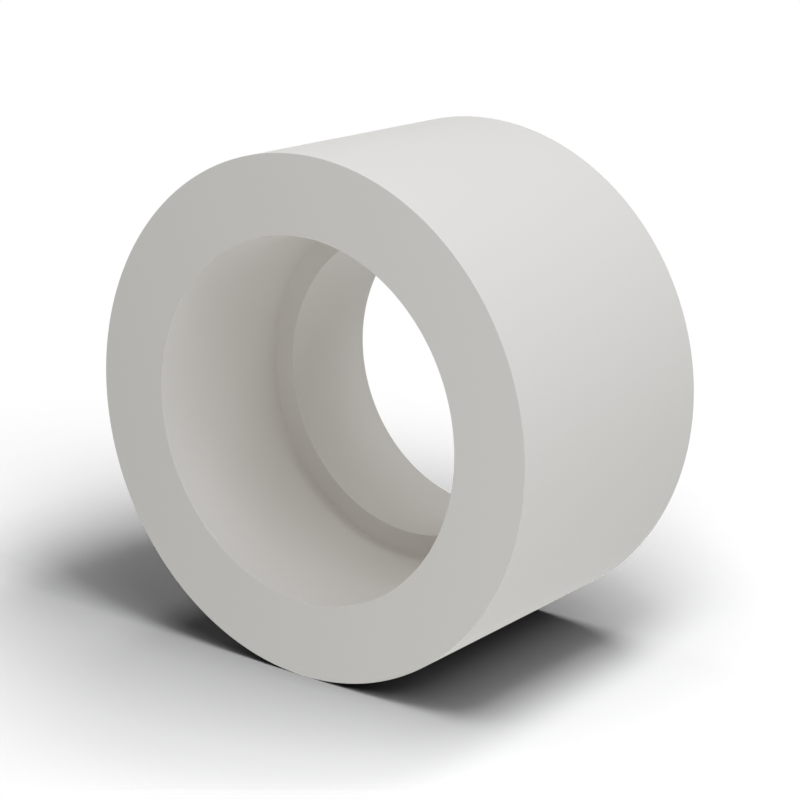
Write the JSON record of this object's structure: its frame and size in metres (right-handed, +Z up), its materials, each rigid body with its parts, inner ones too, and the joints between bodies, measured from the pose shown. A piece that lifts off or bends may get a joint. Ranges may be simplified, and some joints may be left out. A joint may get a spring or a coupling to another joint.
{
  "type": "nylon spacer",
  "caption": "Short round nylon spacer sleeve with a through bore and a wider counterbore sunk from one end to a flat shoulder.",
  "frame": {"origin": "centre of the plain end face, which the spacer stands on", "axes": "+Z up along the bore axis, out of the counterbored end; X and Y are free, because the spacer is round"},
  "size_m": [0.01, 0.01, 0.0057],
  "materials": {
    "nylon": "natural off-white nylon, smooth and matt, with a faint sheen"
  },
  "bodies": {
    "root": {"spacer": "nylon"}
  },
  "joints": []
}
